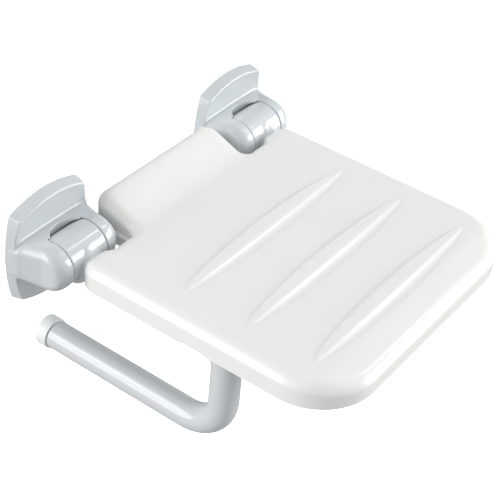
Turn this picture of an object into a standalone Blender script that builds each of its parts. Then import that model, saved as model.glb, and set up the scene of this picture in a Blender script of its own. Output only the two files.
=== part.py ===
"""Fold-down shower seat: a moulded seat pan on two bent support tubes, hinged to two cast wall brackets.

Metres. The wall is the plane y = 0 and the seat projects towards -Y. The origin is on the wall, midway
between the brackets, at the height of the hinge axis. +Z is up.
"""
import math

import bmesh
import bpy
from mathutils import Matrix, Vector

MM = 0.001

# ---- driving dimensions -------------------------------------------------------------------------------
GAP = 0.3 * MM                    # between pieces that touch
HINGE_SPACING = 330 * MM          # between the two brackets
HINGE_OUT = 44 * MM               # hinge axis from the wall

SEAT_WIDTH = 380 * MM
SEAT_REACH = 410 * MM             # front edge from the wall
SEAT_LEAD = 29.5 * MM             # seat's rear edge ahead of the hinge axis
SEAT_TOP = 16 * MM                # top face above the hinge axis
SKIRT_DEPTH = 32 * MM
SHELL_WALL = 4 * MM
FRONT_CORNER = 72 * MM
REAR_CORNER = 20 * MM
TOP_EDGE = 16 * MM

LIP_HALF_WIDTH = 104 * MM
LIP_RISE = 17 * MM                # above the seat's top face
LIP_REAR = 16 * MM                # rear face from the wall
LIP_FOOT = 1 * MM                 # underside of the lip, above the hinge axis
LIP_RUN = 66 * MM                 # length of the slope up to the lip's crest
LIP_EDGE = 15 * MM
LIP_CREST_ROUND = 14 * MM

RIDGE_COUNT = 3
RIDGE_FIRST = 189 * MM            # rearmost ridge from the wall
RIDGE_PITCH = 83.3 * MM
RIDGE_HALF_LENGTH = 150 * MM
RIDGE_HALF_WIDTH = 15 * MM
RIDGE_HEIGHT = 3 * MM

FLANGE_DEPTH = 16 * MM
FLANGE_CORNER_X = 53 * MM
FLANGE_CORNER_Z = 56 * MM
FLANGE_BOW_X = 8 * MM             # how far each upright edge bows out at mid height
FLANGE_BOW_Z = 11 * MM            # how far the top and bottom edges bow out
FLANGE_DRAFT = 2.5 * MM
FLANGE_EDGE = 1.2 * MM
DISH_DEPTH = 5.5 * MM

BODY_ROOT_HALF_WIDTH = 56.5 * MM
BODY_HALF_WIDTH = 50 * MM
BODY_ROOT_HALF_HEIGHT = 25 * MM
NOSE_PROUD = 0.4 * MM             # the cheeks' nose over the barrel
BODY_ROUNDING = 13 * MM
CHEEK_INNER = 28 * MM             # half the slot between the cheeks
SCOOP_MARGIN = 8 * MM             # room round the neck as it swings up

BARREL_RADIUS = 27.6 * MM
BARREL_SIDE_GAP = 0.6 * MM
POCKET_GAP = 1.0 * MM
NECK_INSET = 3.6 * MM             # neck's root under the barrel's radius
PIN_RADIUS = 6 * MM
PIN_DEPTH = 13 * MM               # blind end of the pin in the outer cheek
PIN_INNER = 17.5 * MM             # length of the pin in the inner cheek
BUSH_WALL = 2 * MM
BUSH_LENGTH = 20 * MM
BUSH_FLANGE = 1.0 * MM
BUSH_FLANGE_RADIUS = 12 * MM
PLUG_RADIUS = 7.5 * MM
PLUG_LENGTH = 4.2 * MM
FRICTION_SCREW_RADIUS = 3 * MM
FRICTION_SCREW_LENGTH = 9 * MM
FRICTION_SCREW_OUT = 20 * MM      # from the barrel's middle, towards the seat's side
FRICTION_SCREW_ANGLE = 30         # degrees below level

TUBE_RADIUS = 17 * MM
TUBE_WALL = 2 * MM
TUBE_LEAD = 42 * MM               # the tube's rear end ahead of the hinge axis
LEG_OUT = 260 * MM                # upright leg from the wall
LEG_DROP = 137 * MM               # lower run below the hinge axis
UPPER_BEND = 35 * MM
LOWER_BEND = 48 * MM
SPIGOT_LENGTH = 34 * MM
CAP_RADIUS = 19 * MM
CAP_LENGTH = 17 * MM
CAP_PLUG_LENGTH = 22 * MM
CAP_ROUND = 2.5 * MM

SADDLE_THICKNESS = 2.5 * MM
SADDLE_WIDTH = 20 * MM
SADDLE_PLACES = (118 * MM, 206 * MM)
SADDLE_FOOT_LENGTH = 15 * MM
BOSS_RADIUS = 6.5 * MM
SCREW_RADIUS = 2.2 * MM
SCREW_HEAD_RADIUS = 4.5 * MM
SCREW_HEAD = 2.8 * MM
SCREW_LENGTH = 15 * MM

COVER_HALF_WIDTH = 128 * MM
COVER_THICKNESS = 3 * MM
COVER_RECESS = 1.5 * MM           # cover's face above the skirt's lower edge
COVER_SIDE_GAP = 1 * MM
TRAY_HALF_WIDTH = 111 * MM        # part of the cover that shows beside the lip
TRAY_REAR_HALF_WIDTH = 99 * MM
TRAY_SHOULDER = 46 * MM           # where the tray starts to narrow, from the wall
TRAY_REAR = 21 * MM
COVER_SCREWS = ((104 * MM, 128 * MM), (104 * MM, 370 * MM))

RIB_THICKNESS = 3 * MM
RIB_DEPTH = 9 * MM
CROSS_RIBS = (150 * MM, 235 * MM, 320 * MM)
LONG_RIB_X = 62 * MM

CLIP_NOTCH_Y = 229 * MM
CLIP_NOTCH_LENGTH = 30 * MM
CLIP_NOTCH_DEPTH = 1.4 * MM

PLATE_HALF_WIDTH = 36 * MM
PLATE_HALF_HEIGHT = 42 * MM
PLATE_THICKNESS = 2.5 * MM
PLATE_FOLD = 5.4 * MM
PLATE_POCKET_DEPTH = 6.3 * MM
PLATE_POCKET_GAP = 1.0 * MM
PLATE_HOLE_RADIUS = 3 * MM
PLATE_HOLE_SPREAD = 22 * MM
LOCK_SCREW_RADIUS = 2.5 * MM
LOCK_SCREW_LENGTH = 14 * MM

ROUND = 24                        # sides of a large round piece
SMALL_ROUND = 12                  # sides of a screw or a small bore
TUBE_SIDES = 16
BEND_STEPS = 6
BARREL_SIDES = 40

# ---- worked-out places --------------------------------------------------------------------------------
HINGE_X = HINGE_SPACING / 2
SKIRT_FOOT = SEAT_TOP - SKIRT_DEPTH
TUBE_Z = SEAT_TOP - SHELL_WALL - GAP - TUBE_RADIUS
TUBE_BORE = TUBE_RADIUS - TUBE_WALL
SPIGOT_RADIUS = TUBE_BORE * math.cos(math.pi / TUBE_SIDES) - 0.1 * MM
SEAT_REAR = HINGE_OUT + SEAT_LEAD
TUBE_START = HINGE_OUT + TUBE_LEAD
NOSE_RADIUS = BARREL_RADIUS + NOSE_PROUD
NECK_ROOT_RADIUS = BARREL_RADIUS - NECK_INSET
SCOOP_RADIUS = TUBE_RADIUS + SCOOP_MARGIN
BUSH_RADIUS = PIN_RADIUS + GAP + BUSH_WALL
BARREL_HALF = CHEEK_INNER - BARREL_SIDE_GAP
SADDLE_RADIUS = TUBE_RADIUS + GAP
SADDLE_FOOT_TOP = TUBE_Z - 5 * MM
BOSS_X = HINGE_X - TUBE_RADIUS - BOSS_RADIUS - 1.5 * MM
COVER_Z = SKIRT_FOOT + COVER_RECESS


# ---- materials ----------------------------------------------------------------------------------------
def material(name, color, roughness, metallic=0.0):
    made = bpy.data.materials.new(name)
    made.use_nodes = True
    shader = made.node_tree.nodes["Principled BSDF"]
    shader.inputs["Base Color"].default_value = (*color, 1.0)
    shader.inputs["Roughness"].default_value = roughness
    shader.inputs["Metallic"].default_value = metallic
    made.diffuse_color = (*color, 1.0)
    return made


# ---- mesh helpers -------------------------------------------------------------------------------------
def prism(points, low, high, axis="Z"):
    """A closed prism: a flat outline pushed along one axis. The outline is given in the other two."""
    order = {"X": lambda a, b, c: (c, a, b), "Y": lambda a, b, c: (a, c, b), "Z": lambda a, b, c: (a, b, c)}[axis]
    bm = bmesh.new()
    face = bm.faces.new([bm.verts.new(order(a, b, low)) for a, b in points])
    pushed = bmesh.ops.extrude_face_region(bm, geom=[face])
    verts = [v for v in pushed["geom"] if isinstance(v, bmesh.types.BMVert)]
    bmesh.ops.translate(bm, verts=verts, vec=order(0, 0, high - low))
    bmesh.ops.recalc_face_normals(bm, faces=bm.faces)
    return bm


def box(low, high):
    bm = bmesh.new()
    bmesh.ops.create_cube(bm, size=1.0)
    low, high = Vector(low), Vector(high)
    size = high - low
    bmesh.ops.transform(bm, verts=bm.verts, matrix=Matrix.Translation((low + high) / 2) @ Matrix.Diagonal((*size, 1)))
    return bm


def turned(profile, start, direction, sides=ROUND):
    """A turned solid: (distance, radius) points along a direction from a start point.

    Its first corner stands half a step off the axis planes, so that no corner lies on a neighbour's seam.
    """
    bm = bmesh.new()
    verts = [bm.verts.new((radius, 0, along)) for along, radius in profile]
    verts = [bm.verts.new((0, 0, profile[0][0])), *verts, bm.verts.new((0, 0, profile[-1][0]))]
    edges = [bm.edges.new(pair) for pair in zip(verts, verts[1:])]
    bmesh.ops.spin(bm, geom=[*verts, *edges], cent=(0, 0, 0), axis=(0, 0, 1), angle=math.tau, steps=sides,
                   use_merge=True)
    bmesh.ops.remove_doubles(bm, verts=bm.verts, dist=0.01 * MM)
    turn = Vector(direction).to_track_quat("Z", "Y").to_matrix().to_4x4()
    half_step = Matrix.Rotation(math.pi / sides, 4, "Z")
    bmesh.ops.transform(bm, verts=bm.verts, matrix=Matrix.Translation(start) @ turn @ half_step)
    bmesh.ops.recalc_face_normals(bm, faces=bm.faces)
    return bm


def rod(start, direction, length, radius, sides=ROUND):
    return turned([(0, radius), (length, radius)], start, direction, sides)


def joined(*parts):
    """Several separate closed shapes as one cutter."""
    whole = bmesh.new()
    for part in parts:
        mesh = bpy.data.meshes.new("part")
        part.to_mesh(mesh)
        part.free()
        whole.from_mesh(mesh)
        bpy.data.meshes.remove(mesh)
    return whole


def loft(sections, closed=False):
    """A solid through rings of equally many points; it ends in flat faces, or closed, in its first ring."""
    bm = bmesh.new()
    rings = [[bm.verts.new(point) for point in section] for section in sections]
    count = len(rings[0])
    followers = rings[1:] + rings[:1] if closed else rings[1:]
    for ring, following in zip(rings, followers):
        for i in range(count):
            j = (i + 1) % count
            bm.faces.new((ring[i], ring[j], following[j], following[i]))
    if not closed:
        bm.faces.new(rings[0])
        bm.faces.new(rings[-1])
    bmesh.ops.recalc_face_normals(bm, faces=bm.faces)
    return bm


def arc(center, radius, start, end, steps):
    """Points on an arc, angles in degrees."""
    angles = [math.radians(start + (end - start) * i / steps) for i in range(steps + 1)]
    return [(center[0] + radius * math.cos(a), center[1] + radius * math.sin(a)) for a in angles]


def rounded_outline(half_width, front, rear, front_radius, rear_radius):
    """The pan's plan outline, anticlockwise from the front right corner; front and rear are y values."""
    right, left = half_width - front_radius, -half_width + front_radius
    points = arc((right, front + front_radius), front_radius, -90, 0, 10)
    points += arc((half_width - rear_radius, rear - rear_radius), rear_radius, 0, 90, 4)
    points += arc((-half_width + rear_radius, rear - rear_radius), rear_radius, 90, 180, 4)
    points += arc((left, front + front_radius), front_radius, 180, 270, 10)
    return points


def bevel(bm, edges, width, segments):
    bmesh.ops.bevel(bm, geom=edges, offset=width, offset_type="OFFSET", affect="EDGES", segments=segments,
                    profile=0.5, material=-1, clamp_overlap=True)


def mirrored(bm, side):
    """Pieces are drawn for the right-hand bracket; the left one is their mirror image."""
    if side < 0:
        bmesh.ops.scale(bm, vec=(-1, 1, 1), verts=bm.verts)
        bmesh.ops.reverse_faces(bm, faces=bm.faces)
    return bm


def piece(name, bm, look, frame, cutter=False):
    """A named object under its frame: the wall's, or the hinge axis's for what folds."""
    bmesh.ops.translate(bm, verts=bm.verts, vec=-frame.location)
    mesh = bpy.data.meshes.new(name)
    bm.to_mesh(mesh)
    bm.free()
    mesh.shade_smooth()
    mesh.set_sharp_from_angle(angle=math.radians(32))
    obj = bpy.data.objects.new(name, mesh)
    bpy.context.collection.objects.link(obj)
    obj.parent = frame
    if cutter:
        obj.hide_render = True
        obj.display_type = "WIRE"
    else:
        mesh.materials.append(look)
    return obj


def cut(target, name, bm, operation="DIFFERENCE"):
    tool = piece(f"cut_{name}", bm, None, target.parent, cutter=True)
    step = target.modifiers.new(name, "BOOLEAN")
    step.operation = operation
    step.solver = "EXACT"
    step.object = tool


# ---- wall brackets ------------------------------------------------------------------------------------
def flange_outline(inset):
    """Bowed shield outline about the bracket's middle, anticlockwise, as (x, z) points."""
    x, z = FLANGE_CORNER_X - inset, FLANGE_CORNER_Z - inset
    steps = 9
    points = []
    for i in range(steps):
        t = -1 + 2 * i / steps
        points.append((x + FLANGE_BOW_X * (1 - t * t), z * t))
    for i in range(steps):
        t = -1 + 2 * i / steps
        points.append((-x * t, z + FLANGE_BOW_Z * (1 - t * t)))
    return points + [(-px, -pz) for px, pz in points]


def flange_top(x):
    """Height of the front rim's upper edge at a distance x from the bracket's middle."""
    t = x / (FLANGE_CORNER_X - FLANGE_DRAFT)
    return FLANGE_CORNER_Z - FLANGE_DRAFT + FLANGE_BOW_Z * (1 - t * t)


def bracket_body():
    """The body that grows out of the flange and ends in a round nose about the hinge axis."""
    stations = []
    for y in (-0.4 * FLANGE_DEPTH, -FLANGE_DEPTH, -0.66 * HINGE_OUT, -HINGE_OUT):
        t = max(0.0, (-y - FLANGE_DEPTH) / (HINGE_OUT - FLANGE_DEPTH))
        half_height = BODY_ROOT_HALF_HEIGHT + (NOSE_RADIUS - BODY_ROOT_HALF_HEIGHT) * t
        half_width = BODY_ROOT_HALF_WIDTH + (BODY_HALF_WIDTH - BODY_ROOT_HALF_WIDTH) * t ** 0.8
        stations.append((y, half_width, half_height))
    for degrees in (14, 28, 42, 55, 66, 75, 82, 87):
        angle = math.radians(degrees)
        forward = NOSE_RADIUS * math.sin(angle)
        past = max(0.0, forward - (NOSE_RADIUS - BODY_ROUNDING))
        shoulder = BODY_ROUNDING - math.sqrt(BODY_ROUNDING ** 2 - past ** 2)
        taper = 2 * MM * forward / NOSE_RADIUS
        stations.append((-HINGE_OUT - forward, BODY_HALF_WIDTH - taper - shoulder, NOSE_RADIUS * math.cos(angle)))
    sections = []
    for y, half_width, half_height in stations:
        radius = min(BODY_ROUNDING, 0.98 * half_height)
        ring = []
        for cx, cz, start in ((1, -1, -90), (1, 1, 0), (-1, 1, 90), (-1, -1, 180)):
            center = (cx * (half_width - radius), cz * (half_height - radius))
            ring += arc(center, radius, start, start + 90, 4)
        sections.append([(HINGE_X + x, y, z) for x, z in ring])
    return loft(sections)


def dish(sign):
    """Cutter for the hollow in the flange's front, above or below the body."""
    reach = FLANGE_CORNER_X + 0.4 * FLANGE_BOW_X - FLANGE_DRAFT
    front = -FLANGE_DEPTH - 6 * MM
    sections = []
    for i in range(13):
        x = reach * math.sin(math.radians(-90 + 180 * i / 12)) * 0.985
        low = BODY_ROOT_HALF_HEIGHT + 0.2 * MM
        high = flange_top(min(abs(x), FLANGE_CORNER_X - FLANGE_DRAFT)) - 1.5 * MM
        depth = DISH_DEPTH * math.sqrt(max(0.0, 1 - (x / reach) ** 2)) + 0.05 * MM
        ring = [(front, high), (front, low)]
        for j in range(9):
            t = -1 + 2 * j / 8
            ring.append((-FLANGE_DEPTH + depth * (1 - t * t), low + (high - low) * (t + 1) / 2))
        sections.append([(HINGE_X + x, y, sign * z) for y, z in ring])
    return loft(sections)


def hinge_space():
    """Cutter on the hinge axis: blind pin hole, slot for the barrel, pin hole and seat for the plug."""
    slot_start = PIN_DEPTH + GAP
    slot_end = slot_start + 2 * CHEEK_INNER
    plug_seat = slot_end + PIN_INNER
    small, wide, plug = PIN_RADIUS + GAP, BARREL_RADIUS + POCKET_GAP, PLUG_RADIUS + GAP
    profile = [(0, small), (slot_start, small), (slot_start, wide), (slot_end, wide), (slot_end, small),
               (plug_seat, small), (plug_seat, plug), (plug_seat + 25 * MM, plug)]
    return turned(profile, (HINGE_X + CHEEK_INNER + slot_start, -HINGE_OUT, 0), (-1, 0, 0), BARREL_SIDES)


def wall_bracket(side, name, look, frame):
    back = [(HINGE_X + x, 0, z) for x, z in flange_outline(0)]
    front = [(HINGE_X + x, -FLANGE_DEPTH, z) for x, z in flange_outline(FLANGE_DRAFT)]
    flange = loft([back, front])
    rim = [e for e in flange.edges if all(abs(v.co.y + FLANGE_DEPTH) < 0.1 * MM for v in e.verts)]
    bevel(flange, rim, FLANGE_EDGE, 2)
    bracket = piece(f"wall_bracket_{name}", mirrored(flange, side), look, frame)
    half_x = PLATE_HALF_WIDTH + PLATE_POCKET_GAP
    half_z = PLATE_HALF_HEIGHT + PLATE_POCKET_GAP
    pocket = box((HINGE_X - half_x, -PLATE_POCKET_DEPTH, -half_z), (HINGE_X + half_x, 10 * MM, half_z))
    cut(bracket, f"{name}_plate_pocket", mirrored(pocket, side))
    lock_hole = rod((HINGE_X, -PLATE_FOLD / 2 - 0.6 * MM, -PLATE_HALF_HEIGHT), (0, 0, -1), 40 * MM,
                    LOCK_SCREW_RADIUS + GAP, SMALL_ROUND)
    cut(bracket, f"{name}_lock_hole", mirrored(lock_hole, side))
    cut(bracket, f"{name}_body", mirrored(bracket_body(), side), "UNION")
    cut(bracket, f"{name}_dishes", mirrored(joined(dish(1), dish(-1)), side))
    cut(bracket, f"{name}_hinge_space", mirrored(hinge_space(), side))
    scoop = rod((HINGE_X, -HINGE_OUT, 0), (0, 0, 1), 2 * NOSE_RADIUS, SCOOP_RADIUS)
    cut(bracket, f"{name}_scoop", mirrored(scoop, side))


def wall_plate(side, name, look, frame):
    """Concealed plate: screwed to the wall, its folded edges hold the casting."""
    half, thick, fold = PLATE_HALF_HEIGHT, PLATE_THICKNESS, PLATE_FOLD
    outline = [(0, -half), (0, half), (-fold, half), (-fold, half - thick), (-thick, half - thick),
               (-thick, thick - half), (-fold, thick - half), (-fold, -half)]
    plate = prism(outline, HINGE_X - PLATE_HALF_WIDTH, HINGE_X + PLATE_HALF_WIDTH, "X")
    obj = piece(f"wall_plate_{name}", mirrored(plate, side), look, frame)
    holes = [rod((HINGE_X + x, 5 * MM, z), (0, -1, 0), 15 * MM, PLATE_HOLE_RADIUS, SMALL_ROUND)
             for x, z in ((-PLATE_HOLE_SPREAD, PLATE_HOLE_SPREAD), (PLATE_HOLE_SPREAD, PLATE_HOLE_SPREAD),
                          (0, -PLATE_HOLE_SPREAD))]
    cut(obj, f"{name}_plate_holes", mirrored(joined(*holes), side))


def grub_screw(name, start, direction, radius, length, look, frame, side):
    """Headless screw with a hexagon socket; start is its outer end."""
    body = turned([(0, 0.86 * radius), (0.14 * radius, radius), (length - 0.3 * radius, radius),
                   (length, 0.6 * radius)], start, direction, SMALL_ROUND)
    screw = piece(name, mirrored(body, side), look, frame)
    direction = Vector(direction).normalized()
    outside = Vector(start) - direction * radius
    socket = rod(outside, direction, 2.0 * radius, 0.5 * radius, 6)
    cut(screw, f"{name}_socket", mirrored(socket, side))


# ---- hinges -------------------------------------------------------------------------------------------
def friction_screw_line():
    """Outer end and inward direction of the set screw in the barrel's lower front."""
    angle = math.radians(FRICTION_SCREW_ANGLE)
    outward = Vector((0, -math.cos(angle), -math.sin(angle)))
    end = Vector((HINGE_X + FRICTION_SCREW_OUT, -HINGE_OUT, 0)) + outward * (BARREL_RADIUS - 1.2 * MM)
    return end, -outward


def hinge_arm(side, name, look, frame):
    barrel = rod((HINGE_X - BARREL_HALF, -HINGE_OUT, 0), (1, 0, 0), 2 * BARREL_HALF, BARREL_RADIUS,
                 BARREL_SIDES)
    arm = piece(f"hinge_arm_{name}", mirrored(barrel, side), look, frame)
    start = 10 * MM
    shoulder = TUBE_START - GAP - HINGE_OUT
    flare = [(-7 * MM, 1.0), (-4 * MM, 0.8), (-1.5 * MM, 0.45), (0.5 * MM, 0.15)]
    profile = [(start, NECK_ROOT_RADIUS)]
    profile += [(BARREL_RADIUS + out, TUBE_RADIUS + share * (NECK_ROOT_RADIUS - TUBE_RADIUS)) for out, share in flare]
    profile += [(SEAT_LEAD, TUBE_RADIUS), (shoulder, TUBE_RADIUS), (shoulder, SPIGOT_RADIUS),
                (shoulder + SPIGOT_LENGTH - 2 * MM, SPIGOT_RADIUS),
                (shoulder + SPIGOT_LENGTH, SPIGOT_RADIUS - 2 * MM)]
    neck = turned(profile, (HINGE_X, -HINGE_OUT, TUBE_Z), (0, -1, 0))
    cut(arm, f"{name}_neck", mirrored(neck, side), "UNION")
    bore = turned([(-1 * MM, BUSH_FLANGE_RADIUS + GAP), (BUSH_FLANGE, BUSH_FLANGE_RADIUS + GAP),
                   (BUSH_FLANGE, BUSH_RADIUS + GAP), (2 * BARREL_HALF - BUSH_FLANGE, BUSH_RADIUS + GAP),
                   (2 * BARREL_HALF - BUSH_FLANGE, BUSH_FLANGE_RADIUS + GAP),
                   (2 * BARREL_HALF + 1 * MM, BUSH_FLANGE_RADIUS + GAP)],
                  (HINGE_X - BARREL_HALF, -HINGE_OUT, 0), (1, 0, 0), 24)
    cut(arm, f"{name}_bore", mirrored(bore, side))
    end, inward = friction_screw_line()
    screw_hole = rod(end - inward * 10 * MM, inward, FRICTION_SCREW_LENGTH + 10.5 * MM,
                     FRICTION_SCREW_RADIUS + GAP, SMALL_ROUND)
    cut(arm, f"{name}_friction_hole", mirrored(screw_hole, side))
    tie_hole = rod((HINGE_X, -TUBE_START - SPIGOT_LENGTH / 2, TUBE_Z - 2 * TUBE_RADIUS), (0, 0, 1),
                   2 * TUBE_RADIUS, SCREW_RADIUS + GAP, SMALL_ROUND)
    cut(arm, f"{name}_tie_hole", mirrored(tie_hole, side))


def bush(side, name, end, look, frame):
    """Flanged bush; end is +1 at the barrel's outer end and -1 at its inner end."""
    start = (HINGE_X + end * (BARREL_HALF + 0.2 * MM), -HINGE_OUT, 0)
    flange = BUSH_FLANGE - 0.1 * MM
    length = BUSH_LENGTH
    inner, outer = PIN_RADIUS + GAP, BUSH_RADIUS
    bm = bmesh.new()
    profile = [(0, inner), (0, BUSH_FLANGE_RADIUS), (flange, BUSH_FLANGE_RADIUS), (flange, outer),
               (length, outer), (length, inner)]
    verts = [bm.verts.new((radius, 0, along)) for along, radius in profile]
    edges = [bm.edges.new((verts[i], verts[(i + 1) % len(verts)])) for i in range(len(verts))]
    bmesh.ops.spin(bm, geom=[*verts, *edges], cent=(0, 0, 0), axis=(0, 0, 1), angle=math.tau, steps=24,
                   use_merge=True)
    turn = Vector((-end, 0, 0)).to_track_quat("Z", "Y").to_matrix().to_4x4()
    bmesh.ops.transform(bm, verts=bm.verts, matrix=Matrix.Translation(start) @ turn)
    bmesh.ops.recalc_face_normals(bm, faces=bm.faces)
    where = "outer" if end > 0 else "inner"
    piece(f"hinge_bush_{where}_{name}", mirrored(bm, side), look, frame)


def hinge_pin(side, name, look, frame):
    chamfer = 0.8 * MM
    length = PIN_DEPTH + 2 * CHEEK_INNER + PIN_INNER - GAP
    profile = [(0, PIN_RADIUS - chamfer), (chamfer, PIN_RADIUS), (length - chamfer, PIN_RADIUS),
               (length, PIN_RADIUS - chamfer)]
    pin = turned(profile, (HINGE_X + CHEEK_INNER + PIN_DEPTH, -HINGE_OUT, 0), (-1, 0, 0), SMALL_ROUND)
    piece(f"hinge_pin_{name}", mirrored(pin, side), look, frame)


def pin_plug(side, name, look, frame):
    seat = CHEEK_INNER + PIN_INNER + GAP
    profile = [(0, PLUG_RADIUS), (PLUG_LENGTH - 0.5 * MM, PLUG_RADIUS), (PLUG_LENGTH, PLUG_RADIUS - 0.8 * MM)]
    plug = turned(profile, (HINGE_X - seat, -HINGE_OUT, 0), (-1, 0, 0), SMALL_ROUND)
    piece(f"pin_plug_{name}", mirrored(plug, side), look, frame)


# ---- support tubes ------------------------------------------------------------------------------------
def tube_line():
    """Stations on the support tube's line: y, z and the travel angle, 0 away from the wall, 90 down."""
    stations = [(-TUBE_START, TUBE_Z, 0.0)]
    for y, z, radius, start in ((-LEG_OUT + UPPER_BEND, TUBE_Z - UPPER_BEND, UPPER_BEND, 0),
                                (-LEG_OUT + LOWER_BEND, -LEG_DROP + LOWER_BEND, LOWER_BEND, 90)):
        for i in range(BEND_STEPS + 1):
            angle = start + 90 * i / BEND_STEPS
            turn = math.radians(angle)
            stations.append((y - radius * math.sin(turn), z + radius * math.cos(turn), angle))
    return [*stations, (-CAP_LENGTH - 2 * GAP, -LEG_DROP, 180.0)]


def tube_ring(y, z, angle, radius):
    turn = math.radians(angle)
    points = arc((0, 0), radius, 0, 360 - 360 / TUBE_SIDES, TUBE_SIDES - 1)
    return [(HINGE_X + a, y - b * math.sin(turn), z + b * math.cos(turn)) for a, b in points]


def support_tube(side, name, look, frame):
    line = tube_line()
    skin = [tube_ring(*station, TUBE_RADIUS) for station in line]
    bore = [tube_ring(*station, TUBE_BORE) for station in reversed(line)]
    bm = loft(skin + bore, closed=True)
    tube = piece(f"support_tube_{name}", mirrored(bm, side), look, frame)
    tie_hole = rod((HINGE_X, -TUBE_START - SPIGOT_LENGTH / 2, TUBE_Z - 2 * TUBE_RADIUS), (0, 0, 1),
                   2 * TUBE_RADIUS, SCREW_RADIUS + GAP, SMALL_ROUND)
    cut(tube, f"{name}_tube_tie_hole", mirrored(tie_hole, side))


def end_cap(side, name, look, frame):
    plug = TUBE_BORE - GAP
    profile = [(0, CAP_RADIUS - CAP_ROUND), (0.3 * CAP_ROUND, CAP_RADIUS - 0.3 * CAP_ROUND),
               (CAP_ROUND, CAP_RADIUS), (CAP_LENGTH - 0.8 * MM, CAP_RADIUS), (CAP_LENGTH, CAP_RADIUS - 0.8 * MM),
               (CAP_LENGTH, plug), (CAP_LENGTH + CAP_PLUG_LENGTH, plug)]
    cap = turned(profile, (HINGE_X, 0, -LEG_DROP), (0, -1, 0))
    piece(f"tube_end_cap_{name}", mirrored(cap, side), look, frame)


def pan_screw(name, head_face, x, y, side, length, look, frame):
    """Screw driven upwards; head_face is the height of the surface under its head."""
    head_top = head_face - GAP
    profile = [(0, 0.72 * SCREW_HEAD_RADIUS), (0.35 * SCREW_HEAD, SCREW_HEAD_RADIUS),
               (SCREW_HEAD, SCREW_HEAD_RADIUS), (SCREW_HEAD, SCREW_RADIUS),
               (SCREW_HEAD + length - 1.5 * MM, SCREW_RADIUS), (SCREW_HEAD + length, 0.4 * SCREW_RADIUS)]
    start = (x, y, head_top - SCREW_HEAD)
    screw = piece(name, mirrored(turned(profile, start, (0, 0, 1), SMALL_ROUND), side), look, frame)
    socket = rod((x, y, head_top - SCREW_HEAD - 1 * MM), (0, 0, 1), 2.6 * MM, 1.4 * MM, 6)
    cut(screw, f"{name}_socket", mirrored(socket, side))


def saddle_outline():
    """Hooked strap under the tube with its foot on the inner side, as (x, z) points."""
    center = (HINGE_X, TUBE_Z)
    outer = SADDLE_RADIUS + SADDLE_THICKNESS
    foot_bottom = SADDLE_FOOT_TOP - SADDLE_THICKNESS
    foot_end = BOSS_X - SADDLE_FOOT_LENGTH / 2
    meet_top = math.degrees(math.asin((SADDLE_FOOT_TOP - TUBE_Z) / SADDLE_RADIUS))
    meet_bottom = math.degrees(math.asin((foot_bottom - TUBE_Z) / outer))
    points = arc(center, outer, -12, -180 - meet_bottom, 10)
    points += [(foot_end, foot_bottom), (foot_end, SADDLE_FOOT_TOP)]
    return points + arc(center, SADDLE_RADIUS, -180 - meet_top, -12, 10)


def saddle(side, name, index, y, look, frame):
    strap = prism(saddle_outline(), -y - SADDLE_WIDTH / 2, -y + SADDLE_WIDTH / 2, "Y")
    obj = piece(f"tube_saddle_{index}_{name}", mirrored(strap, side), look, frame)
    hole = rod((BOSS_X, -y, SADDLE_FOOT_TOP - 10 * MM), (0, 0, 1), 20 * MM, SCREW_RADIUS + GAP, SMALL_ROUND)
    cut(obj, f"saddle_hole_{index}_{name}", mirrored(hole, side))


# ---- seat pan and its cover ---------------------------------------------------------------------------
def lip_height(y):
    """Height of the slope that rises from the seat's top face to the lip's crest."""
    t = min(1.0, max(0.0, (-y - LIP_REAR - TOP_EDGE / 2) / LIP_RUN))
    ease = t * t * (3 - 2 * t)
    return SEAT_TOP + LIP_RISE - (LIP_RISE + 1.2 * MM) * ease


def lip_outline(inset):
    """Side view of the lip as (y, z) points, set in by a wall."""
    rear = -LIP_REAR - inset
    corner = LIP_CREST_ROUND - 0.6 * inset
    crest = SEAT_TOP + LIP_RISE - inset
    foot = LIP_FOOT if inset == 0 else SKIRT_FOOT - 10 * MM
    points = [(rear, foot)]
    points += arc((rear - corner, crest - corner), corner, 0, 90, 4)
    run_start = rear - corner
    front = -LIP_REAR - TOP_EDGE / 2 - LIP_RUN - 4 * MM
    for i in range(1, 9):
        y = run_start + (front - run_start) * i / 8
        points.append((y, lip_height(y) - inset))
    return points + [(front - 14 * MM, SEAT_TOP - 5 * MM - inset), (front - 14 * MM, foot)]


def lip_block(inset):
    half = LIP_HALF_WIDTH - inset
    bm = prism(lip_outline(inset), -half, half, "X")
    rear = -LIP_REAR - inset
    side_edges = [e for e in bm.edges if all(abs(abs(v.co.x) - half) < 0.01 * MM for v in e.verts)
                  and e.verts[0].co.x * e.verts[1].co.x > 0
                  and max(v.co.z for v in e.verts) > SEAT_TOP - 6 * MM
                  and min(v.co.y for v in e.verts) > -LIP_REAR - TOP_EDGE / 2 - LIP_RUN - 6 * MM]
    side_edges = [e for e in side_edges if e.calc_length() > 0.1 * MM
                  and not (abs(e.verts[0].co.y - e.verts[1].co.y) < 0.01 * MM and e.verts[0].co.y < rear - 1 * MM)]
    bevel(bm, side_edges, LIP_EDGE - 0.6 * inset, 3)
    return bm


def pan_block(inset, foot):
    outline = rounded_outline(SEAT_WIDTH / 2 - inset, -SEAT_REACH + inset, -SEAT_REAR - inset,
                              FRONT_CORNER - inset, REAR_CORNER - 0.6 * inset)
    top = SEAT_TOP - inset
    bm = prism(outline, foot, top)
    rim = [e for e in bm.edges if all(abs(v.co.z - top) < 0.01 * MM for v in e.verts)]
    bevel(bm, rim, TOP_EDGE - inset, 3)
    return bm


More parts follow.
